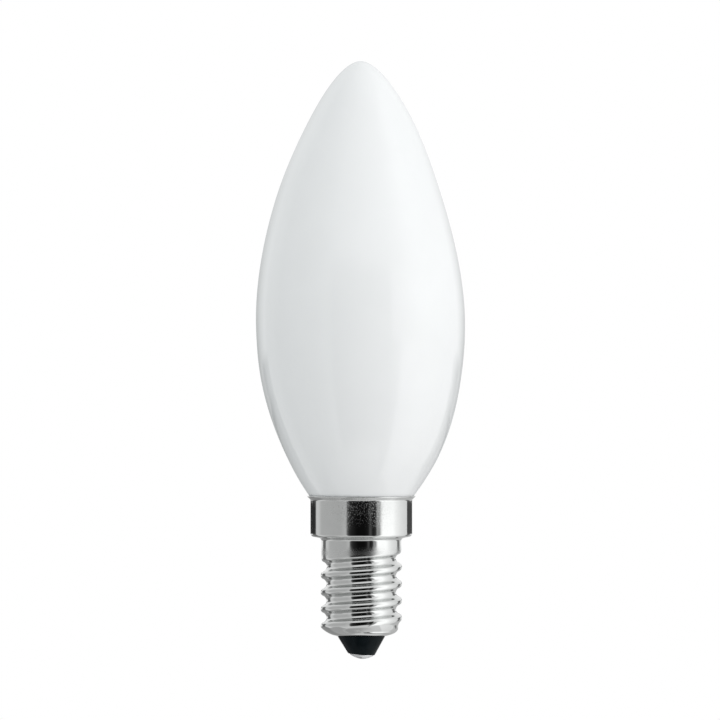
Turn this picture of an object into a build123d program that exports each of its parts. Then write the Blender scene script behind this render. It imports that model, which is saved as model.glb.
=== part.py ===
from build123d import *
import os
from math import cos, pi, radians, sin, sqrt, tan

# Candle bulb on a small screw cap. Millimetres, standing on its contact, with its axis on Z.

# Glass: one long curve from the tip to the widest girth, then drawn in to a neck inside the cap
overall_length = 100.0
bulb_diameter = 35.0
widest_height = 56.5
tip_fullness = 6.2
flank_fullness = 17.8
belly_fullness = 12.9
rim_angle = 36.0
rim_fullness = 8.5
glass_neck_length = 3.8
glass_neck_chamfer = 0.6
glass_neck_bend = 1.6
glass_neck_clearance = 0.25

# Cap shell: one pressed sheet with a flared lip, a skirt, a shoulder and a neck
sheet = 0.25
shoulder_height = 20.3
skirt_diameter = 17.0
skirt_length = 6.9
skirt_corner = 0.5
lip_reach = 0.6
lip_bend = 0.5
lip_clearance = 0.07
neck_length = 2.0
neck_step = 0.125

# Right-hand thread rolled into the sheet, with a run-in under the neck and a short run-out
thread_diameter = 13.65
thread_pitch = 2.822
groove_depth = 0.98
run_in = 1.8
run_out = 0.65
left_crest_height = 11.14
sections_per_turn = 12

# Drawn-in end of the shell, which grips the insulator
end_step = 0.625
end_plain = 0.05
end_bend = 0.5
end_slope = 16.0
end_hole_diameter = 7.95
end_hole_height = 3.9

# Insulator: a glass cone with a flange that lies on the drawn-in end
flange_clearance = 0.05
flange_height = 1.6
insulator_tip_diameter = 4.45
insulator_tip_height = 0.68
insulator_edge = 0.15

# Centre contact: a dished disc with a tube through the insulator, closed by a bead of solder
contact_diameter = 4.0
contact_depth = 0.65
contact_sheet = 0.3
tube_diameter = 1.4
tube_bore = 0.9
tube_top = 2.4
bead_diameter = 1.5
solder_top = 1.4

# Cement ring that bonds the glass neck in the skirt, up to where the glass bends outward
cement_thickness = 0.75
cement_drop = 0.4

# Lip: the sheet flares to lie along the glass, which passes just inside its edge
flare = radians(rim_angle)
lip_height = shoulder_height + skirt_length
skirt_radius = skirt_diameter / 2
skirt_bore_radius = skirt_radius - sheet
lip_edge = (skirt_radius + lip_reach, lip_height)
lip_inner_edge = (lip_edge[0] - sheet * cos(flare), lip_edge[1] + sheet * sin(flare))
lip_root_height = lip_height - lip_reach / tan(flare)
lip_inner_root_height = lip_inner_edge[1] - (lip_inner_edge[0] - skirt_bore_radius) / tan(flare)
glass_rim = Vector(lip_inner_edge[0] - lip_clearance, lip_inner_edge[1])

# Thread: its crests stand out past the neck above it and the drawn-in end below it
thread_radius = thread_diameter / 2
thread_bore_radius = thread_radius - groove_depth - sheet
neck_radius = thread_radius - neck_step
end_radius = thread_radius - end_step

# Drawn-in end: the sheet slopes down to its hole, and the insulator's flange is seated on it
slope = radians(end_slope)
hole_edge = (end_hole_diameter / 2, end_hole_height)
seat_start = (hole_edge[0] - sheet * sin(slope), hole_edge[1] + sheet * cos(slope))
end_corner_height = end_hole_height + (end_radius - hole_edge[0]) * tan(slope)

# The thread runs from the end of the neck down to the bend of the drawn-in end
thread_top = shoulder_height - neck_length
thread_bottom = end_corner_height + end_bend * tan((pi / 2 - slope) / 2) + end_plain

with BuildPart() as glass_bulb:
    tip = Vector(0, overall_length)
    widest = Vector(bulb_diameter / 2, widest_height)
    rim_tangent = Vector(sin(flare), cos(flare))
    neck_end_height = shoulder_height + sheet + glass_neck_clearance
    glass_neck_radius = skirt_bore_radius - cement_thickness
    neck_end = Vector(glass_neck_radius, neck_end_height)
    neck_top = neck_end + Vector(0, glass_neck_length)
    with BuildSketch(Plane.XZ):
        with BuildLine():
            Bezier(
                tip,
                tip + Vector(tip_fullness, 0),
                widest + Vector(0, flank_fullness),
                widest,
            )
            Bezier(
                widest,
                widest - Vector(0, belly_fullness),
                glass_rim + rim_tangent * rim_fullness,
                glass_rim,
            )
            Bezier(
                glass_rim,
                glass_rim - rim_tangent * glass_neck_bend,
                neck_top + Vector(0, glass_neck_bend / 2),
                neck_top,
            )
            Polyline(neck_top, neck_end, (0, neck_end_height), tip)
        make_face()
    revolve(axis=Axis.Z)
    chamfer(glass_bulb.edges().group_by(Axis.Z)[0], glass_neck_chamfer)


def seat_height(distance):
    """Height of the inside of the drawn-in end, at a distance from the axis."""
    return seat_start[1] + (distance - seat_start[0]) * tan(slope)


def eased(share):
    """A smooth rise from 0 to 1 as the share goes from 0 to 1."""
    held = min(max(share, 0), 1)
    return held * held * (3 - 2 * held)


def thread_section(height):
    """Centre and radius of the shell's round section at a height.

    A single-start rolled thread is a round tube whose centre circles the axis once in each pitch.
    """
    run_in_share = eased((thread_top - height) / run_in)
    run_out_share = eased((height - thread_bottom) / run_out)
    share = run_in_share * run_out_share
    plain_radius = neck_radius if run_in_share < run_out_share else end_radius
    crest_radius = plain_radius + (thread_radius - plain_radius) * share
    reach = share * groove_depth / 2
    turn = pi + 2 * pi * (height - left_crest_height) / thread_pitch
    return (reach * cos(turn), reach * sin(turn)), crest_radius - reach


with BuildPart() as screw_shell:
    # Rolled stretch, section by section
    thread_length = thread_top - thread_bottom
    section_count = round(thread_length / thread_pitch * sections_per_turn)
    for step in range(section_count + 1):
        height = thread_bottom + thread_length * step / section_count
        centre, radius = thread_section(height)
        with BuildSketch(Plane.XY.offset(height)):
            with Locations(centre):
                Circle(radius)
    loft(ruled=True)
    # Outside of the lip, the skirt, the shoulder and the neck, then of the drawn-in end
    with BuildSketch(Plane.XZ):
        with BuildLine():
            FilletPolyline(
                lip_edge,
                (skirt_radius, lip_root_height),
                (skirt_radius, shoulder_height),
                (neck_radius, shoulder_height),
                radius=[lip_bend, skirt_corner],
            )
            Polyline(
                (neck_radius, shoulder_height),
                (neck_radius, thread_top),
                (0, thread_top),
                (0, lip_inner_edge[1]),
                lip_inner_edge,
                lip_edge,
            )
        make_face()
        with BuildLine():
            FilletPolyline(
                (end_radius, thread_bottom),
                (end_radius, end_corner_height),
                hole_edge,
                radius=end_bend,
            )
            Polyline(
                hole_edge,
                (0, end_hole_height),
                (0, thread_bottom),
                (end_radius, thread_bottom),
            )
        make_face()
    revolve(axis=Axis.Z)
    # Inside, one sheet within the skirt, the shoulder, the bottom of the groove and the drawn-in end
    with BuildSketch(Plane.XZ):
        with BuildLine():
            Polyline(
                (0, lip_inner_edge[1]),
                lip_inner_edge,
                (skirt_bore_radius, lip_inner_root_height),
                (skirt_bore_radius, shoulder_height + sheet),
                (thread_bore_radius, shoulder_height + sheet),
                (thread_bore_radius, seat_height(thread_bore_radius)),
                seat_start,
                hole_edge,
                (0, end_hole_height),
                close=True,
            )
        make_face()
    revolve(axis=Axis.Z, mode=Mode.SUBTRACT)

with BuildPart() as insulator:
    flange_radius = thread_bore_radius - flange_clearance
    insulator_top = end_hole_height + flange_height
    with BuildSketch(Plane.XZ):
        with BuildLine():
            Polyline(
                (tube_diameter / 2, insulator_tip_height),
                (insulator_tip_diameter / 2, insulator_tip_height),
                hole_edge,
                seat_start,
                (flange_radius, seat_height(flange_radius)),
                (flange_radius, insulator_top),
                (tube_diameter / 2, insulator_top),
                close=True,
            )
        make_face()
    revolve(axis=Axis.Z)
    tip_edges = insulator.edges().group_by(Axis.Z)[0].sort_by(SortBy.RADIUS)
    chamfer(tip_edges[-1], insulator_edge)

# Round of the dished disc, whose rim lies on the insulator's tip
dish_radius = ((contact_diameter / 2) ** 2 + contact_depth**2) / (2 * contact_depth)
dish_centre = insulator_tip_height - contact_depth + dish_radius


def dish_height(sphere_radius, distance):
    """Height of a round of that radius about the dish's centre, at a distance from the axis."""
    return dish_centre - sqrt(sphere_radius**2 - distance**2)


with BuildPart() as centre_contact:
    inner_radius = dish_radius - contact_sheet
    rim_drop = dish_centre - insulator_tip_height
    seat_radius = sqrt(inner_radius**2 - rim_drop**2)
    rim = (contact_diameter / 2, insulator_tip_height)
    seat = (seat_radius, insulator_tip_height)
    outer_mouth = (tube_bore / 2, dish_height(dish_radius, tube_bore / 2))
    tube_root = (tube_diameter / 2, dish_height(inner_radius, tube_diameter / 2))
    with BuildSketch(Plane.XZ):
        with BuildLine():
            RadiusArc(outer_mouth, rim, -dish_radius)
            Line(rim, seat)
            RadiusArc(seat, tube_root, inner_radius)
            Polyline(
                tube_root,
                (tube_diameter / 2, tube_top),
                (tube_bore / 2, tube_top),
                outer_mouth,
            )
        make_face()
    revolve(axis=Axis.Z)

with BuildPart() as contact_solder:
    bead_edge = (bead_diameter / 2, dish_height(dish_radius, bead_diameter / 2))
    bead_radius = (bead_edge[0] ** 2 + bead_edge[1] ** 2) / (2 * bead_edge[1])
    with BuildSketch(Plane.XZ):
        with BuildLine():
            RadiusArc((0, 0), bead_edge, -bead_radius)
            RadiusArc(bead_edge, outer_mouth, dish_radius)
            Polyline(outer_mouth, (tube_bore / 2, solder_top), (0, solder_top), (0, 0))
        make_face()
    revolve(axis=Axis.Z)

with BuildPart() as capping_cement:
    cement_length = glass_neck_length - glass_neck_chamfer - cement_drop
    with BuildSketch(Plane.XY.offset(neck_end_height + glass_neck_chamfer)):
        Circle(skirt_bore_radius)
        Circle(glass_neck_radius, mode=Mode.SUBTRACT)
    extrude(amount=cement_length)

os.makedirs("parts", exist_ok=True)
glass_bulb.part.label = "glass_bulb"
export_step(glass_bulb.part, "parts/glass_bulb.step")
screw_shell.part.label = "screw_shell"
export_step(screw_shell.part, "parts/screw_shell.step")
insulator.part.label = "insulator"
export_step(insulator.part, "parts/insulator.step")
centre_contact.part.label = "centre_contact"
export_step(centre_contact.part, "parts/centre_contact.step")
contact_solder.part.label = "contact_solder"
export_step(contact_solder.part, "parts/contact_solder.step")
capping_cement.part.label = "capping_cement"
export_step(capping_cement.part, "parts/capping_cement.step")
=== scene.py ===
import bpy
from math import atan, cos, exp, floor, pi, radians, sin, sqrt, tan
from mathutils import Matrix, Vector


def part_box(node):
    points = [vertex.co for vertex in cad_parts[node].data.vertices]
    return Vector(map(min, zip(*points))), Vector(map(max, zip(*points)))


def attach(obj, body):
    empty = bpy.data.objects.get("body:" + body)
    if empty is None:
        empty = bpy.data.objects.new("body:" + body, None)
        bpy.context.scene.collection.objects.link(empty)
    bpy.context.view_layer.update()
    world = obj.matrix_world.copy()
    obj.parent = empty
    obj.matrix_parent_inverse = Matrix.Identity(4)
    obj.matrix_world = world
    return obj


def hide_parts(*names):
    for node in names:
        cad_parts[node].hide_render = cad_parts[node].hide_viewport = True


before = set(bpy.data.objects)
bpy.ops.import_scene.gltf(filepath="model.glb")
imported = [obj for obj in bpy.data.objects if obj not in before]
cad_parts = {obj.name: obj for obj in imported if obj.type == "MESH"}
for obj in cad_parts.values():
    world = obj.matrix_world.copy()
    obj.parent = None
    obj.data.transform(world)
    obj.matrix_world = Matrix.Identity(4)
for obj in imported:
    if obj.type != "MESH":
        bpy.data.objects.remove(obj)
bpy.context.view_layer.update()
mm = 0.001


# Glass bulb: thin clear glass, blown in a mould and coated white on the inside.
# Its neck goes down into the cap, where cement holds it.
# The blown wall stands a hair off the cap's axis, first to one side and then to the other.
glass_low, glass_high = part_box("glass_bulb")
shell_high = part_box("screw_shell")[1]
bulb_radius = glass_high.x
bulb_top = glass_high.z
widest_height = 56.5 * mm
tip_fullness = 6.2 * mm
flank_fullness = 17.8 * mm
belly_fullness = 12.9 * mm
rim_fullness = 8.5 * mm
rim_angle = radians(36)
sheet = 0.25 * mm
lip_radius = shell_high.x
lip_height = 27.2 * mm
lip_clearance = 0.1 * mm
glass_neck_radius = 7.5 * mm
glass_neck_length = 3.8 * mm
glass_neck_bend = 1.6 * mm
glass_neck_round = 0.6 * mm
glass_sides = 256
flank_steps = 150
belly_steps = 90
tuck_steps = 20
foot_steps = 6
# Height and sideways drift of the glass wall
glass_drift = (
    (27.0 * mm, 0.05 * mm),
    (34.0 * mm, 0.21 * mm),
    (50.0 * mm, -0.10 * mm),
    (77.0 * mm, -0.37 * mm),
    (91.5 * mm, -0.07 * mm),
    (100.0 * mm, -0.11 * mm),
)


def eased(share):
    """A smooth rise from 0 to 1 as the share goes from 0 to 1."""
    held = min(max(share, 0.0), 1.0)
    return held * held * (3 - 2 * held)


def drift_at(height):
    """How far the glass stands off the axis at a height."""
    if height <= glass_drift[0][0]:
        return glass_drift[0][1] * eased(height / glass_drift[0][0])
    for (low, at_low), (high, at_high) in zip(glass_drift, glass_drift[1:]):
        if height <= high:
            return at_low + (at_high - at_low) * eased((height - low) / (high - low))
    return glass_drift[-1][1]


def bent(start, start_pull, end_pull, end, steps):
    """Points along one smooth bend from start to end, leaving out the end itself."""
    points = []
    for step in range(steps):
        t = step / steps
        s = 1 - t
        points.append(start * s**3 + start_pull * 3 * s * s * t + end_pull * 3 * s * t * t + end * t**3)
    return points


def rounded(corner_from, corner, corner_to, radius, steps):
    """Points round a corner of an outline, on an arc that touches both of its sides.

    One more point on each side, close to the arc, keeps the shading of the sides flat.
    """
    back = (corner_from - corner).normalized()
    on = (corner_to - corner).normalized()
    half = back.angle(on) / 2
    reach = radius / tan(half)
    centre = corner + (back + on).normalized() * (radius / sin(half))
    first = corner + back * reach - centre
    last = corner + on * reach - centre
    sweep = first.angle(last)
    lead = radius / 10
    points = [corner + back * (reach + lead)]
    for step in range(steps + 1):
        t = step / steps
        points.append(centre + (first * sin((1 - t) * sweep) + last * sin(t * sweep)) / sin(sweep))
    points.append(corner + on * (reach + lead))
    return points


def skin(name, rings, joined=False):
    """A smooth mesh over rings of points, from the first ring down to the last.

    A ring of one point closes an end, and joined closes the last ring on the first.
    """
    points = [p for ring in rings for p in ring]
    starts = [0]
    for ring in rings:
        starts.append(starts[-1] + len(ring))
    pairs = list(zip(range(len(rings)), range(1, len(rings))))
    if joined:
        pairs.append((len(rings) - 1, 0))
    faces = []
    for upper, lower in pairs:
        a, b = starts[upper], starts[lower]
        sides = max(len(rings[upper]), len(rings[lower]))
        for k in range(sides):
            n = (k + 1) % sides
            if len(rings[upper]) == 1:
                faces.append((a, b + k, b + n))
            elif len(rings[lower]) == 1:
                faces.append((a + k, b, a + n))
            else:
                faces.append((a + k, b + k, b + n, a + n))
    mesh = bpy.data.meshes.new(name)
    mesh.from_pydata([tuple(p) for p in points], [], faces)
    mesh.shade_smooth()
    made = bpy.data.objects.new(name, mesh)
    bpy.context.scene.collection.objects.link(made)
    return made


def level_ring(radius, height, sides, drift=0.0):
    """A level ring of points about the axis, or one point where the radius is nothing."""
    if radius < 1e-9:
        return [(drift, 0.0, height)]
    ways = [2 * pi * k / sides for k in range(sides)]
    return [(drift + radius * cos(way), radius * sin(way), height) for way in ways]


lip_edge = Vector((lip_radius, lip_height))
lip_inner_edge = lip_edge + Vector((-cos(rim_angle), sin(rim_angle))) * sheet
glass_rim = lip_inner_edge - Vector((lip_clearance, 0))
rim_run = Vector((sin(rim_angle), cos(rim_angle)))
tip = Vector((0, bulb_top))
tip_pull = tip + Vector((tip_fullness, 0))
widest = Vector((bulb_radius, widest_height))
flank_pull = widest + Vector((0, flank_fullness))
belly_pull = widest - Vector((0, belly_fullness))
rim_pull = glass_rim + rim_run * rim_fullness
neck_end = Vector((glass_neck_radius, glass_low.z))
neck_top = neck_end + Vector((0, glass_neck_length))
tuck_pull = glass_rim - rim_run * glass_neck_bend
neck_pull = neck_top + Vector((0, glass_neck_bend / 2))
glass_outline = bent(tip, tip_pull, flank_pull, widest, flank_steps)
glass_outline += bent(widest, belly_pull, rim_pull, glass_rim, belly_steps)
glass_outline += bent(glass_rim, tuck_pull, neck_pull, neck_top, tuck_steps)
glass_foot = Vector((0, glass_low.z))
glass_outline += rounded(neck_top, neck_end, glass_foot, glass_neck_round, foot_steps)
glass_outline.append(glass_foot)
glass = skin("bulb_glass", [level_ring(p.x, p.y, glass_sides, drift_at(p.y)) for p in glass_outline])


def new_material(name):
    """A material with a Principled shader, and its node tree."""
    made = bpy.data.materials.new(name)
    made.use_nodes = True
    tree = made.node_tree
    return made, tree, tree.nodes["Principled BSDF"]


def add(tree, kind, **sockets):
    """A node of that kind, with values for its inputs by name."""
    node = tree.nodes.new(kind)
    for socket, value in sockets.items():
        node.inputs[socket.replace("_", " ")].default_value = value
    return node


# Unevenness that every finish here has in its own measure, as a roughness and as a height.
# Most of its noise lies between the low and the high value.
noise_low = 0.3
noise_high = 0.7
uneven = bpy.data.node_groups.new("uneven_finish", "ShaderNodeTree")
for socket in ("Grain", "Smoothest", "Roughest"):
    uneven.interface.new_socket(socket, in_out="INPUT", socket_type="NodeSocketFloat")
for socket in ("Roughness", "Relief"):
    uneven.interface.new_socket(socket, in_out="OUTPUT", socket_type="NodeSocketFloat")
given = add(uneven, "NodeGroupInput")
put_out = add(uneven, "NodeGroupOutput")
place = add(uneven, "ShaderNodeTexCoord")
cloud = add(uneven, "ShaderNodeTexNoise", Detail=3.0)
span = add(uneven, "ShaderNodeMapRange", From_Min=noise_low, From_Max=noise_high)
uneven.links.new(place.outputs["Object"], cloud.inputs["Vector"])
uneven.links.new(given.outputs["Grain"], cloud.inputs["Scale"])
uneven.links.new(cloud.outputs["Fac"], span.inputs["Value"])
uneven.links.new(given.outputs["Smoothest"], span.inputs["To Min"])
uneven.links.new(given.outputs["Roughest"], span.inputs["To Max"])
uneven.links.new(span.outputs["Result"], put_out.inputs["Roughness"])
uneven.links.new(cloud.outputs["Fac"], put_out.inputs["Relief"])


def finish_of(tree, grain, smoothest, roughest):
    """The uneven finish, placed in a material with a grain per metre and a range of roughness."""
    node = tree.nodes.new("ShaderNodeGroup")
    node.node_tree = uneven
    node.inputs["Grain"].default_value = grain
    node.inputs["Smoothest"].default_value = smoothest
    node.inputs["Roughest"].default_value = roughest
    return node


def toned(tree, value, low_colour, high_colour):
    """A colour that runs from one to the other with a value."""
    ramp = tree.nodes.new("ShaderNodeValToRGB")
    ramp.color_ramp.elements[0].position = noise_low
    ramp.color_ramp.elements[0].color = (*low_colour, 1)
    ramp.color_ramp.elements[1].position = noise_high
    ramp.color_ramp.elements[1].color = (*high_colour, 1)
    tree.links.new(value, ramp.inputs["Fac"])
    return ramp.outputs["Color"]


def relief_of(tree, value, strength, depth):
    """The normal of a surface with a small relief, as high as a value."""
    node = add(tree, "ShaderNodeBump", Strength=strength, Distance=depth)
    tree.links.new(value, node.inputs["Height"])
    return node.outputs["Normal"]


def ranged(tree, value, start, stop, at_start=0.0, at_stop=1.0):
    """A value carried from one range to another, and held at the ends."""
    node = add(tree, "ShaderNodeMapRange", From_Min=start, From_Max=stop, To_Min=at_start, To_Max=at_stop)
    tree.links.new(value, node.inputs["Value"])
    return node.outputs["Result"]


def worked_out(tree, operation, first, second):
    """A value worked out from two others."""
    node = tree.nodes.new("ShaderNodeMath")
    node.operation = operation
    tree.links.new(first, node.inputs[0])
    tree.links.new(second, node.inputs[1])
    return node.outputs[0]


def painted_over(tree, share, colour, shade_colour):
    """A colour that gives way to a painted shade by a share."""
    node = tree.nodes.new("ShaderNodeMix")
    node.data_type = "RGBA"
    node.inputs["B"].default_value = (*shade_colour, 1)
    tree.links.new(share, node.inputs["Factor"])
    tree.links.new(colour, node.inputs["A"])
    return node.outputs["Result"]


def finish_with(tree, shader, colour, roughness, relief):
    """Gives a shader its colour, its roughness and its normal."""
    tree.links.new(colour, shader.inputs["Base Color"])
    tree.links.new(roughness, shader.inputs["Roughness"])
    tree.links.new(relief, shader.inputs["Normal"])


# White powder coat under clear gloss: the coat is a little cloudy, and the blown wall ripples slightly
coat_grey = (0.865, 0.88, 0.885)
coat_white = (0.885, 0.9, 0.905)
white_glass, tree, shader = new_material("white_coated_glass")
shader.inputs["Coat Roughness"].default_value = 0.06
shader.inputs["Coat IOR"].default_value = 1.5
shader.inputs["Specular IOR Level"].default_value = 0.0
cloudy = finish_of(tree, grain=90.0, smoothest=0.45, roughest=0.6)
white = toned(tree, cloudy.outputs["Relief"], coat_grey, coat_white)
ripple = relief_of(tree, cloudy.outputs["Relief"], strength=0.06, depth=0.5 * mm)
# The clear wall shows as a grey rim where it is seen edge-on, partly painted shade: its grey is painted
# strongest between the girth and the cap, and lighter towards the tip and at the cap, where more light
# reaches it
rim_glass_and_shade_grey = (0.2, 0.22, 0.22)
rim_start = 0.62
rim_full = 0.85
rim_gloss_left = 0.3
rim_shade_most = 0.5
rim_shade_at_tip = 0.1
rim_shade_at_cap = 0.22
rim_shade_fade_high = (50 * mm, 85 * mm)
rim_shade_fade_low = (27 * mm, 42 * mm)
edge_on = add(tree, "ShaderNodeLayerWeight", Blend=0.5)
rim_seen = ranged(tree, edge_on.outputs["Facing"], rim_start, rim_full)
rim_gloss = ranged(tree, rim_seen, 0.0, 1.0, 1.0, rim_gloss_left)
tree.links.new(rim_gloss, shader.inputs["Coat Weight"])
place = add(tree, "ShaderNodeTexCoord")
axes = tree.nodes.new("ShaderNodeSeparateXYZ")
tree.links.new(place.outputs["Object"], axes.inputs["Vector"])
# Painted shade: the rim's grey is scaled by height, strongest between the girth and the cap
rim_shade_high = ranged(tree, axes.outputs["Z"], *rim_shade_fade_high, rim_shade_most, rim_shade_at_tip)
rim_shade_low = ranged(tree, axes.outputs["Z"], *rim_shade_fade_low, rim_shade_at_cap, rim_shade_most)
rim_shade_by_height = worked_out(tree, "MINIMUM", rim_shade_high, rim_shade_low)
rim_shade_share = worked_out(tree, "MULTIPLY", rim_seen, rim_shade_by_height)
rim_shaded_white = painted_over(tree, rim_shade_share, white, rim_glass_and_shade_grey)
finish_with(tree, shader, rim_shaded_white, cloudy.outputs["Roughness"], ripple)
glass.data.materials.append(white_glass)
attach(glass, "root")
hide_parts("glass_bulb")


# Cap shell: sheet metal, drawn to a cup, rolled with a right-hand thread and plated with nickel.
# The lip at its top flares along the glass, and the bottom end is drawn in to grip the insulator.
# Handling has left a shallow dent in the neck, and the press a crease in the drawn-in end.
lip_round = 0.1 * mm
lip_length = 0.6 * mm
lip_bend = 0.4 * mm
skirt_radius = 8.5 * mm
skirt_foot_height = 20.54 * mm
skirt_corner = 0.5 * mm
shoulder_height = 20.12 * mm
shoulder_bend = 0.5 * mm
neck_radius = 6.7 * mm
thread_top = 18.6 * mm
thread_radius = 6.825 * mm
thread_pitch = 2.822 * mm
groove_depth = 0.98 * mm
crest_share = 0.42
left_crest_height = 11.14 * mm
# The groove fades at the back, over the height it climbs there, and at the bottom over a longer way
groove_top = 18.33 * mm
groove_start = 1.41 * mm
groove_end = 4.2 * mm
groove_fade = 2.8 * mm
last_groove = 0.35
end_top = 5.45 * mm
end_rise = 0.35 * mm
end_step = 0.05 * mm
end_start = 0.45
end_fullness = 0.65
end_lean = 0.3
end_flat_radius = 4.8 * mm
end_slope = radians(16)
end_hole_radius = 3.975 * mm
end_hole_height = 3.78 * mm
seat_radius = 5.1 * mm
bore_foot_height = 4.95 * mm
dent_way = radians(237)
dent_height = 17.65 * mm
dent_size = 0.5 * mm
dent_depth = 0.03 * mm
crease_way = radians(295)
crease_spread = radians(26)
crease_height = 4.52 * mm
crease_size = 0.09 * mm
crease_depth = 0.24 * mm
shell_sides = 224
edge_steps = 5
bend_steps = 12
thread_rows = 240
end_rows = 36


def groove_shape(pitches, depth):
    """Depth of the wall under the crests, at a share of the pitch away from the middle of the groove.

    A round crest and a round groove meet in the flank, where they have the same slope.
    """
    flank = 2 * atan(2 * depth / thread_pitch)
    if flank < 1e-6:
        return 0.0
    away = abs(pitches) * thread_pitch
    crest_half = crest_share * thread_pitch / 2
    groove_half = thread_pitch / 2 - crest_half
    if away < groove_half:
        rounding = groove_half / sin(flank)
        return depth - (rounding - sqrt(rounding**2 - away**2))
    rounding = crest_half / sin(flank)
    return rounding - sqrt(max(rounding**2 - (thread_pitch / 2 - away) ** 2, 0.0))


def wall_radius(way, height):
    """Distance of the shell's outside from its axis, at an angle and a height of the thread.

    The wall is a wave, whose groove climbs by one pitch in each turn. Below its first turn the
    crests stand out a little past the neck.
    """
    climb = (way - pi) / (2 * pi)
    turns = (height - left_crest_height) / thread_pitch - climb
    groove = floor(turns) + 0.5
    groove_height = left_crest_height + thread_pitch * (groove + climb)
    depth = groove_depth * eased((groove_top - groove_height) / groove_start)
    depth *= last_groove + (1 - last_groove) * eased((groove_height - groove_end) / groove_fade)
    first_groove = floor((groove_top - left_crest_height) / thread_pitch - climb - 0.5) + 0.5
    swelling = 0.0
    for turn in (first_groove, first_groove - 1):
        middle = left_crest_height + thread_pitch * (turn + climb)
        passed = eased((middle - height) / thread_pitch + 0.5)
        swelling = max(swelling, passed * eased((groove_top - middle) / groove_start))
    crest = neck_radius + (thread_radius - neck_radius) * swelling
    away = ((way - dent_way) * neck_radius) ** 2 + (height - dent_height) ** 2
    dent = dent_depth * exp(-away / dent_size**2)
    return crest - groove_shape(turns - groove, depth) - dent


shell_ways = [2 * pi * k / shell_sides for k in range(shell_sides)]
skirt_bore = skirt_radius - sheet
lip_root = Vector((skirt_radius, lip_height - lip_length))
lip_inner_drop = (lip_inner_edge.x - skirt_bore) / tan(rim_angle)
lip_inner_root = Vector((skirt_bore, lip_inner_edge.y - lip_inner_drop))
skirt_foot = Vector((skirt_radius, skirt_foot_height))
shoulder_root = Vector((neck_radius, shoulder_height))
neck_foot = Vector((neck_radius, thread_top))
upper_outline = rounded(lip_inner_root, lip_inner_edge, lip_edge, lip_round, edge_steps)
upper_outline += rounded(lip_inner_edge, lip_edge, lip_root, lip_round, edge_steps)
upper_outline += rounded(lip_edge, lip_root, skirt_foot, lip_bend, bend_steps)
upper_outline += rounded(lip_root, skirt_foot, shoulder_root, skirt_corner, bend_steps)
upper_outline += rounded(skirt_foot, shoulder_root, neck_foot, shoulder_bend, bend_steps)
shell_rings = [level_ring(p.x, p.y, shell_sides) for p in upper_outline]
wall_feet = [end_top + end_rise * eased(-sin(way)) for way in shell_ways]
for row in range(thread_rows):
    ring = []
    for way, foot in zip(shell_ways, wall_feet):
        height = thread_top + (foot - thread_top) * row / thread_rows
        radius = wall_radius(way, height)
        ring.append((radius * cos(way), radius * sin(way), height))
    shell_rings.append(ring)

# Drawn-in end: the wall bends from where the thread leaves it to one flat cone round the hole
hole_edge = Vector((end_hole_radius, end_hole_height))
end_flat_rise = (end_flat_radius - end_hole_radius) * tan(end_slope)
end_flat = Vector((end_flat_radius, end_hole_height + end_flat_rise))
end_bends = []
for way, foot in zip(shell_ways, wall_feet):
    wall_foot = Vector((wall_radius(way, foot), foot))
    wall_slope = (wall_radius(way, foot + end_step) - wall_foot.x) / end_step
    drop = end_flat.y - end_flat.x * tan(end_slope) - foot
    corner_radius = (wall_foot.x + wall_slope * drop) / (1 - wall_slope * tan(end_slope))
    corner = Vector((corner_radius, end_flat.y + (corner_radius - end_flat.x) * tan(end_slope)))
    wall_pull = wall_foot.lerp(corner, end_start)
    flat_pull = end_flat.lerp(corner, end_fullness + end_lean * cos(way))
    end_bends.append(bent(wall_foot, wall_pull, flat_pull, end_flat, end_rows))
for row in range(end_rows):
    ring = []
    for way, bend in zip(shell_ways, end_bends):
        radius, height = bend[row]
        away = ((way - crease_way) / crease_spread) ** 2 + ((height - crease_height) / crease_size) ** 2
        radius += crease_depth * exp(-away)
        ring.append((radius * cos(way), radius * sin(way), height))
    shell_rings.append(ring)
seat_start = hole_edge + Vector((-sin(end_slope), cos(end_slope))) * sheet
seat_end = Vector((seat_radius, seat_start.y + (seat_radius - seat_start.x) * tan(end_slope)))
bore_radius = thread_radius - groove_depth - sheet
bore_foot = Vector((bore_radius, bore_foot_height))
bore_top = Vector((bore_radius, shoulder_height + sheet))
skirt_floor = Vector((skirt_bore, skirt_foot_height + sheet))
inner_outline = [end_flat, hole_edge, seat_start, seat_end]
inner_outline += [bore_foot, bore_top, skirt_floor, lip_inner_root]
shell_rings += [level_ring(p.x, p.y, shell_sides) for p in inner_outline]
shell = skin("cap_shell", shell_rings, joined=True)

# Bright nickel, with a patch of tiny pits high on the front of the skirt and drawing lines down the wall
nickel_dark = (0.59, 0.6, 0.595)
nickel_light = (0.61, 0.62, 0.615)
pits_per_metre = 8000.0
pit_middle = 0.25
pit_edge = 0.5
pits_left_out = 0.45
pits_full = 0.75
patch_rise = (21.2 * mm, 24.5 * mm)
patch_depth = (-7.2 * mm, -5 * mm)
drawn_lines_per_metre = 3200.0
drawn_stretch = 0.02
drawn_start = 0.55
drawn_full = 0.75
drawn_most = 0.06
rubbed_most = 0.42
rubbed_rise = (16.8 * mm, 17.6 * mm)
rubbed_fall = (18 * mm, 19.2 * mm)
dullest = 0.55
nickel, tree, shader = new_material("bright_nickel")
shader.inputs["Metallic"].default_value = 1.0
plated = finish_of(tree, grain=700.0, smoothest=0.04, roughest=0.08)
nickel_tone = toned(tree, plated.outputs["Relief"], nickel_dark, nickel_light)
place = add(tree, "ShaderNodeTexCoord")
axes = tree.nodes.new("ShaderNodeSeparateXYZ")
tree.links.new(place.outputs["Object"], axes.inputs["Vector"])
pits = add(tree, "ShaderNodeTexVoronoi", Scale=pits_per_metre, Randomness=1.0)
tree.links.new(place.outputs["Object"], pits.inputs["Vector"])
pit_tint = tree.nodes.new("ShaderNodeSeparateColor")
tree.links.new(pits.outputs["Color"], pit_tint.inputs["Color"])
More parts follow.
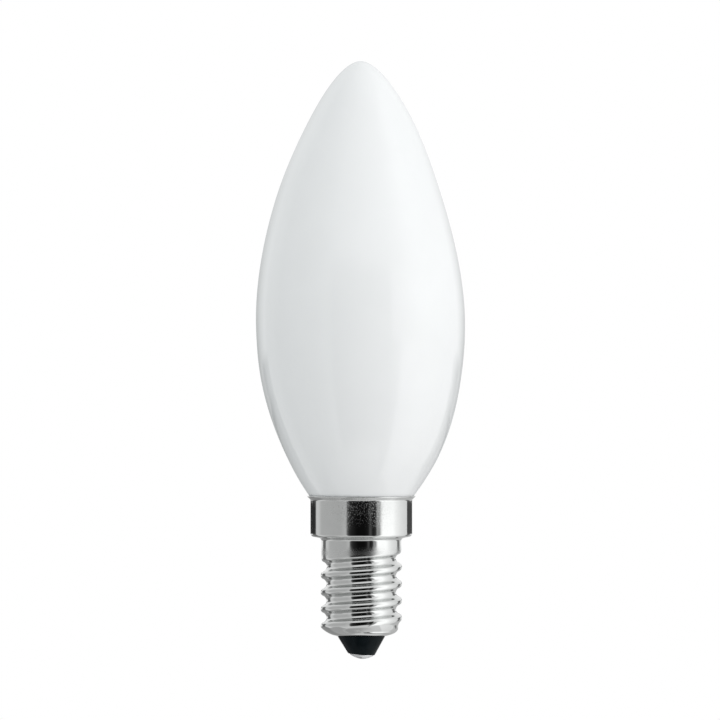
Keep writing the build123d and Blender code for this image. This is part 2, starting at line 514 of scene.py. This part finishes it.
pit_core = ranged(tree, pits.outputs["Distance"], pit_middle, pit_edge, 1.0, 0.0)
pit_some = ranged(tree, pit_tint.outputs["Red"], pits_left_out, pits_full)
high_up = ranged(tree, axes.outputs["Z"], *patch_rise)
in_front = ranged(tree, axes.outputs["Y"], *patch_depth, 1.0, 0.0)
patch = worked_out(tree, "MULTIPLY", high_up, in_front)
pit_kept = worked_out(tree, "MULTIPLY", pit_some, patch)
pitted = worked_out(tree, "MULTIPLY", pit_core, pit_kept)
long_way = add(tree, "ShaderNodeMapping", Scale=(1.0, 1.0, drawn_stretch))
tree.links.new(place.outputs["Object"], long_way.inputs["Vector"])
drawn = add(tree, "ShaderNodeTexNoise", Scale=drawn_lines_per_metre, Detail=2.0)
tree.links.new(long_way.outputs["Vector"], drawn.inputs["Vector"])
drawn_line = ranged(tree, drawn.outputs["Fac"], drawn_start, drawn_full, 0.0, drawn_most)
# The rolling tool has rubbed a dull band round the neck, just above the thread
rubbed_low = ranged(tree, axes.outputs["Z"], *rubbed_rise)
rubbed_high = ranged(tree, axes.outputs["Z"], *rubbed_fall, rubbed_most, 0.0)
rubbed = worked_out(tree, "MULTIPLY", rubbed_low, rubbed_high)
scuffed = worked_out(tree, "MAXIMUM", rubbed, drawn_line)
worn = worked_out(tree, "MAXIMUM", pitted, scuffed)
dulled = tree.nodes.new("ShaderNodeMath")
dulled.operation = "MULTIPLY_ADD"
dulled.inputs[1].default_value = dullest
tree.links.new(worn, dulled.inputs[0])
tree.links.new(plated.outputs["Roughness"], dulled.inputs[2])
pit_dip = relief_of(tree, pitted, strength=0.2, depth=0.03 * mm)
finish_with(tree, shader, nickel_tone, dulled.outputs[0], pit_dip)
shell.data.materials.append(nickel)
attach(shell, "root")
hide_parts("screw_shell")


# Insulator: a plug of black glass, poured into the drawn-in end of the cap while hot.
# Its flange lies on the metal inside, and the cone below it carries the contact.
# The tip has set with a slight lean.
insulator_low, insulator_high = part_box("insulator")
tube_radius = 0.7 * mm
insulator_tip_radius = 2.225 * mm
insulator_edge = 0.15 * mm
tip_lean = radians(4.3)
contact_edge = 0.1 * mm
tip_height = insulator_low.z + contact_edge
flange_radius = insulator_high.x
insulator_sides = 160
tip_steps = 8
flange_foot = Vector((flange_radius, bore_foot_height))
tip_corner = Vector((insulator_tip_radius, tip_height))
tip_middle = Vector((tube_radius, tip_height))
insulator_outline = [
    Vector((tube_radius, insulator_high.z)),
    Vector((flange_radius, insulator_high.z)),
    flange_foot,
    seat_end,
    seat_start,
    hole_edge,
]
insulator_outline += rounded(hole_edge, tip_corner, tip_middle, insulator_edge, tip_steps)
insulator_outline.append(tip_middle)


def leaned(points):
    """The same points, lower on one side of the cone's tip, where the hot glass ran down."""
    moved = []
    for x, y, z in points:
        share = eased((hole_edge.y - z) / (hole_edge.y - tip_height))
        moved.append((x, y, z - x * tan(tip_lean) * share))
    return moved


insulator_rings = [leaned(level_ring(p.x, p.y, insulator_sides)) for p in insulator_outline]
insulator = skin("black_glass_insulator", insulator_rings, joined=True)

black_deep = (0.003, 0.005, 0.006)
black_pale = (0.006, 0.009, 0.011)
black_glass, tree, shader = new_material("black_glass")
shader.inputs["IOR"].default_value = 1.5
shader.inputs["Specular IOR Level"].default_value = 0.05
poured = finish_of(tree, grain=900.0, smoothest=0.2, roughest=0.36)
black = toned(tree, poured.outputs["Relief"], black_deep, black_pale)
flow = relief_of(tree, poured.outputs["Relief"], strength=0.1, depth=0.1 * mm)
finish_with(tree, shader, black, poured.outputs["Roughness"], flow)
insulator.data.materials.append(black_glass)
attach(insulator, "root")
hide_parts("insulator")


# Centre contact: a tinned disc, dished by a punch, with a tube that the glass of the insulator grips.
# One lead of the bulb comes down the tube and ends in the solder.
# Soldering has left the soft disc tilted, and a small dark spot painted on its front stands for the shade
# in a tiny pit.
contact_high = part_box("centre_contact")[1]
contact_radius = contact_high.x
contact_depth = 0.65 * mm
contact_sheet = 0.3 * mm
tube_bore = 0.45 * mm
contact_rim_height = insulator_low.z
contact_aside = 0.05 * mm
contact_tilt = radians(4.3)
# Place and size of the painted shade spot on the front of the disc
dark_spot_place = (-0.08 * mm, -1.1 * mm, 0.2 * mm)
dark_spot_core = 0.1 * mm
dark_spot_size = 0.35 * mm
contact_sides = 128
dish_steps = 24
dish_radius = (contact_radius**2 + contact_depth**2) / (2 * contact_depth)
dish_centre = contact_rim_height - contact_depth + dish_radius
inner_dish_radius = dish_radius - contact_sheet


def dish_height(sphere_radius, distance):
    """Height of a round about the dish's centre, at a distance from the axis."""
    return dish_centre - sqrt(sphere_radius**2 - distance**2)


def pushed(points):
    """The same points, moved aside and tilted the more, the lower they lie on the contact."""
    moved = []
    for x, y, z in points:
        share = eased((2 * contact_rim_height - z) / contact_rim_height)
        moved.append((x + contact_aside * share, y, z - x * tan(contact_tilt) * share))
    return moved


contact_outline = []
for step in range(dish_steps + 1):
    distance = tube_bore + (contact_radius - tube_bore) * step / dish_steps
    contact_outline.append(Vector((distance, dish_height(dish_radius, distance))))
contact_outline.append(Vector((contact_radius, tip_height)))
seat_reach = sqrt(inner_dish_radius**2 - (dish_centre - contact_rim_height) ** 2)
for step in range(dish_steps + 1):
    distance = seat_reach + (tube_radius - seat_reach) * step / dish_steps
    contact_outline.append(Vector((distance, dish_height(inner_dish_radius, distance))))
contact_outline.append(Vector((tube_radius, contact_high.z)))
contact_outline.append(Vector((tube_bore, contact_high.z)))
contact_rings = [pushed(level_ring(p.x, p.y, contact_sides)) for p in reversed(contact_outline)]
contact = skin("centre_contact_disc", contact_rings, joined=True)

tin_dark = (0.7, 0.71, 0.72)
tin_light = (0.86, 0.87, 0.88)
painted_pit_shade = (0.2, 0.2, 0.19)
tinned, tree, shader = new_material("tinned_metal")
shader.inputs["Metallic"].default_value = 1.0
dipped = finish_of(tree, grain=1500.0, smoothest=0.25, roughest=0.45)
tin = toned(tree, dipped.outputs["Relief"], tin_dark, tin_light)
place = add(tree, "ShaderNodeTexCoord")
# Painted shade: a small dark spot on the front of the disc, darkest at its core
dark_spot_away = tree.nodes.new("ShaderNodeVectorMath")
dark_spot_away.operation = "DISTANCE"
dark_spot_away.inputs[1].default_value = dark_spot_place
tree.links.new(place.outputs["Object"], dark_spot_away.inputs[0])
dark_spot_share = ranged(tree, dark_spot_away.outputs["Value"], dark_spot_core, dark_spot_size, 1.0, 0.0)
spot_shaded_tin = painted_over(tree, dark_spot_share, tin, painted_pit_shade)
dip = relief_of(tree, dipped.outputs["Relief"], strength=0.3, depth=0.1 * mm)
finish_with(tree, shader, spot_shaded_tin, dipped.outputs["Roughness"], dip)
contact.data.materials.append(tinned)
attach(contact, "root")
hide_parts("centre_contact")


# Solder: a drop that closes the tube and spreads over the middle of the contact.
# It sets with a dull, grainy skin.
bead_radius = 0.75 * mm
solder_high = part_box("contact_solder")[1]
bead_edge_height = dish_height(dish_radius, bead_radius)
bead_steps = 16
bead_sides = 96
bead_sphere = (bead_radius**2 + bead_edge_height**2) / (2 * bead_edge_height)
bead_outline = []
for step in range(bead_steps + 1):
    distance = bead_radius * step / bead_steps
    bead_outline.append(Vector((distance, bead_sphere - sqrt(bead_sphere**2 - distance**2))))
bead_outline.append(Vector((tube_bore, dish_height(dish_radius, tube_bore))))
bead_outline.append(Vector((tube_bore, solder_high.z)))
bead_outline.append(Vector((0, solder_high.z)))
solder = skin("solder_bead", [pushed(level_ring(p.x, p.y, bead_sides)) for p in reversed(bead_outline)])

solder_dark = (0.56, 0.57, 0.58)
solder_light = (0.78, 0.79, 0.8)
set_solder, tree, shader = new_material("set_solder")
shader.inputs["Metallic"].default_value = 1.0
grained = finish_of(tree, grain=2500.0, smoothest=0.3, roughest=0.5)
grey = toned(tree, grained.outputs["Relief"], solder_dark, solder_light)
crust = relief_of(tree, grained.outputs["Relief"], strength=0.4, depth=0.1 * mm)
finish_with(tree, shader, grey, grained.outputs["Roughness"], crust)
solder.data.materials.append(set_solder)
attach(solder, "root")
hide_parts("contact_solder")


# Capping cement: a baked ring between the glass neck and the skirt, out of sight in the cap.
# It is the solid as packed, with a chalky, crumbly finish.
chalk_dark = (0.58, 0.53, 0.43)
chalk_light = (0.78, 0.74, 0.64)
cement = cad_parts["capping_cement"]
baked, tree, shader = new_material("baked_cement")
chalky = finish_of(tree, grain=1800.0, smoothest=0.85, roughest=0.95)
chalk = toned(tree, chalky.outputs["Relief"], chalk_dark, chalk_light)
crumb = relief_of(tree, chalky.outputs["Relief"], strength=0.6, depth=0.2 * mm)
finish_with(tree, shader, chalk, chalky.outputs["Roughness"], crumb)
cement.data.materials.clear()
cement.data.materials.append(baked)


# Studio floor: a pale board well below the bulb, which its lamp holder would carry.
# It is white to the camera and in reflections, and keeps the bulb's soft shadow.
floor_drop = 0.5
floor_half = 6.0
board_corners = [(-1, -1), (1, -1), (1, 1), (-1, 1)]
board_points = [(x * floor_half, y * floor_half, -floor_drop) for x, y in board_corners]
board_mesh = bpy.data.meshes.new("studio_floor")
board_mesh.from_pydata(board_points, [], [(0, 1, 2, 3)])
board = bpy.data.objects.new("studio_floor", board_mesh)
bpy.context.scene.collection.objects.link(board)


def seen_rays(tree):
    """A value of 1 for rays that show a background: straight, in a reflection or through glass."""
    path = tree.nodes.new("ShaderNodeLightPath")
    mirrored = worked_out(tree, "MAXIMUM", path.outputs["Is Camera Ray"], path.outputs["Is Glossy Ray"])
    return worked_out(tree, "MAXIMUM", mirrored, path.outputs["Is Transmission Ray"])


def show_over(tree, share, under, over):
    """Shows one shader over another by a share, as the whole material."""
    both = tree.nodes.new("ShaderNodeMixShader")
    tree.links.new(share, both.inputs[0])
    tree.links.new(under.outputs[0], both.inputs[1])
    tree.links.new(over.outputs[0], both.inputs[2])
    tree.links.new(both.outputs[0], tree.nodes["Material Output"].inputs["Surface"])


floor_grey = (0.65, 0.65, 0.65, 1)
floor_glow = 0.65
pale, tree, shader = new_material("pale_board")
shader.inputs["Base Color"].default_value = floor_grey
shader.inputs["Roughness"].default_value = 0.8
glow = add(tree, "ShaderNodeEmission", Color=(1, 1, 1, 1), Strength=1.0)
glow_share = ranged(tree, seen_rays(tree), 0.0, 1.0, 0.0, floor_glow)
show_over(tree, glow_share, shader, glow)
board_mesh.materials.append(pale)


# Lamps: a large soft lamp to the right of the camera, a weak one to its left and a top light.
# The pale room round them gives the rest of the light, and is white where it is seen.
lamp_white = (1, 1, 1)
fill_tint = (0.85, 0.98, 1)
top_tint = (0.88, 0.98, 1)
room_light = 0.76


def soft_lamp(name, way, up, distance, size, radiance, colour):
    """A square soft lamp that faces the bulb, at an angle right of the camera and an angle up."""
    lamp = bpy.data.lights.new(name, "AREA")
    lamp.shape = "SQUARE"
    lamp.size = size
    lamp.energy = radiance * size * size * pi
    lamp.color = colour
    made = bpy.data.objects.new(name, lamp)
    middle = Vector((0, 0, bulb_top / 2))
    towards = Vector((sin(way) * cos(up), -cos(way) * cos(up), sin(up)))
    made.location = middle + towards * distance
    made.rotation_euler = (-towards).to_track_quat("-Z", "Y").to_euler()
    made.visible_camera = False
    made.visible_glossy = False
    bpy.context.scene.collection.objects.link(made)


soft_lamp("key_lamp", radians(54), radians(3), distance=0.8, size=0.8, radiance=1.42, colour=lamp_white)
soft_lamp("fill_lamp", radians(-70), radians(5), distance=0.8, size=0.8, radiance=0.4, colour=fill_tint)
soft_lamp("top_lamp", radians(70), radians(70), distance=0.7, size=0.6, radiance=0.36, colour=top_tint)

world = bpy.data.worlds.new("pale_room")
bpy.context.scene.world = world
world.use_nodes = True
tree = world.node_tree
room = tree.nodes["Background"]
room.inputs["Color"].default_value = (1, 1, 1, 1)
level = ranged(tree, seen_rays(tree), 0.0, 1.0, room_light, 1.0)
tree.links.new(level, room.inputs["Strength"])


# Light tent: panels of bright, grey and black cloth round the bulb, with soft edges.
# Only the gloss of glass and metal shows them, and the white room shows between them.
tent_radius = 0.45
tent_middle = 0.02
face_angle = 1.5
fewest_faces = 12
faces_in_edge = 3
cloth, tree, shader = new_material("tent_cloth")
dye = tree.nodes.new("ShaderNodeVertexColor")
dye.layer_name = "dye"
lit_cloth = add(tree, "ShaderNodeEmission", Strength=1.0)
tree.links.new(dye.outputs["Color"], lit_cloth.inputs["Color"])
open_air = tree.nodes.new("ShaderNodeBsdfTransparent")
show_over(tree, dye.outputs["Alpha"], open_air, lit_cloth)


def tone_at(tones, way):
    """Brightness of a panel at an angle right of the camera."""
    if way <= tones[0][0]:
        return tones[0][1]
    for (start, at_start), (stop, at_stop) in zip(tones, tones[1:]):
        if way <= stop:
            return at_start + (at_stop - at_start) * (way - start) / (stop - start)
    return tones[-1][1]


def tent_panel(name, ways, ups, soft, tones, rise=0.0, radius=tent_radius):
    """A panel between two angles right of the camera and two angles up, in degrees.

    Soft gives the angles over which its sides and its top and bottom fade. Rise is the share by which
    it is brighter at its top and bottom than along its middle.
    """
    start, stop = ways
    low, high = ups
    soft_side, soft_top = soft
    across = max(fewest_faces, round((stop - start) / face_angle))
    upward = max(fewest_faces, round((high - low) / min(face_angle, soft_top / faces_in_edge)))
    points = []
    dyes = []
    for j in range(upward + 1):
        up = low + (high - low) * j / upward
        for i in range(across + 1):
            way = start + (stop - start) * i / across
            flat = radius * cos(radians(up))
            height = tent_middle + radius * sin(radians(up))
            points.append((flat * sin(radians(way)), -flat * cos(radians(way)), height))
            tone = tone_at(tones, way) * (1 + rise * eased(abs(up) / high))
            cover = eased(min(way - start, stop - way) / soft_side) if soft_side else 1.0
            cover *= eased(min(up - low, high - up) / soft_top)
            dyes.append((tone, tone, tone, cover))
    faces = []
    for j in range(upward):
        for i in range(across):
            a = j * (across + 1) + i
            faces.append((a, a + 1, a + across + 2, a + across + 1))
    mesh = bpy.data.meshes.new(name)
    mesh.from_pydata(points, [], faces)
    layer = mesh.color_attributes.new("dye", "FLOAT_COLOR", "POINT")
    for spot, value in zip(layer.data, dyes):
        spot.color = value
    mesh.materials.append(cloth)
    made = bpy.data.objects.new(name, mesh)
    made.visible_camera = False
    made.visible_diffuse = False
    made.visible_shadow = False
    bpy.context.scene.collection.objects.link(made)


dark_tones = [(-35, 0.35), (-32, 0.16), (-28, 0.05), (-22, 0.022), (-10, 0.006), (8, 0.006)]
dark_tones += [(16, 0.015), (19, 0.09), (22, 0.09), (25, 0.015), (30, 0.03), (36, 0.08)]
tent_panel("camera_cloth", (-35, 36), (-47, 30), (3, 10), dark_tones, radius=0.44)
right_tones = [(32, 0.1), (35, 0.42), (41, 0.4), (44, 0.8), (47, 1.5), (50, 1.66)]
right_tones += [(76, 1.65), (88, 1.38), (102, 1.18), (120, 1.03)]
tent_panel("right_cloth", (32, 128), (-58, 2), (2, 3), right_tones)
high_tones = [(33, 0.9), (48, 1.1), (62, 1.6), (76, 1.62), (88, 1.35), (102, 1.15), (120, 1.0)]
tent_panel("high_right_cloth", (31, 128), (-6, 66), (2, 12), high_tones, radius=0.46)
left_tones = [(-127, 0.85), (-112, 0.82), (-102, 0.62), (-48, 0.58), (-38, 0.66)]
tent_panel("left_cloth", (-128, -32), (-60, 66), (2, 12), left_tones, rise=0.4)
tent_panel("low_left_cloth", (-176, -70), (-68, -36), (12, 8), [(0, 0.5)], radius=0.43)
tent_panel("back_left_cloth", (-143, -121), (-25, 12), (2, 4), [(0, 0.2)], radius=0.125)
tent_panel("back_right_cloth", (123, 143), (-25, 12), (2, 4), [(0, 0.25)], radius=0.125)
under_tones = [(-90, 0.45), (0, 0.5), (90, 0.8)]
tent_panel("under_cloth", (-180, 180), (-104, -58), (0, 12), under_tones)
low_back_tones = [(130, 0.75), (180, 0.5), (190, 0.35)]
tent_panel("low_back_cloth", (127, 236), (-50, -5), (4, 6), low_back_tones)
back_tones = [(150, 0.085), (210, 0.037)]
tent_panel("back_cloth", (124, 236), (-1.25, 2.1), (2, 0.2), back_tones, radius=0.12)


# Camera: level with the middle of the bulb and square to its axis.
# Its distance and framing follow the photograph.
view_distance = 1.2
view_width = 120.46 * mm
view_height = 50.0 * mm
view_aside = -0.22 * mm
camera = bpy.data.cameras.new("view_camera")
camera.sensor_width = 36.0
camera.lens = camera.sensor_width * view_distance / view_width
viewer = bpy.data.objects.new("view_camera", camera)
viewer.location = (view_aside, -view_distance, view_height)
viewer.rotation_euler = (pi / 2, 0, 0)
bpy.context.scene.collection.objects.link(viewer)
bpy.context.scene.camera = viewer
bpy.context.scene.view_settings.view_transform = "Standard"
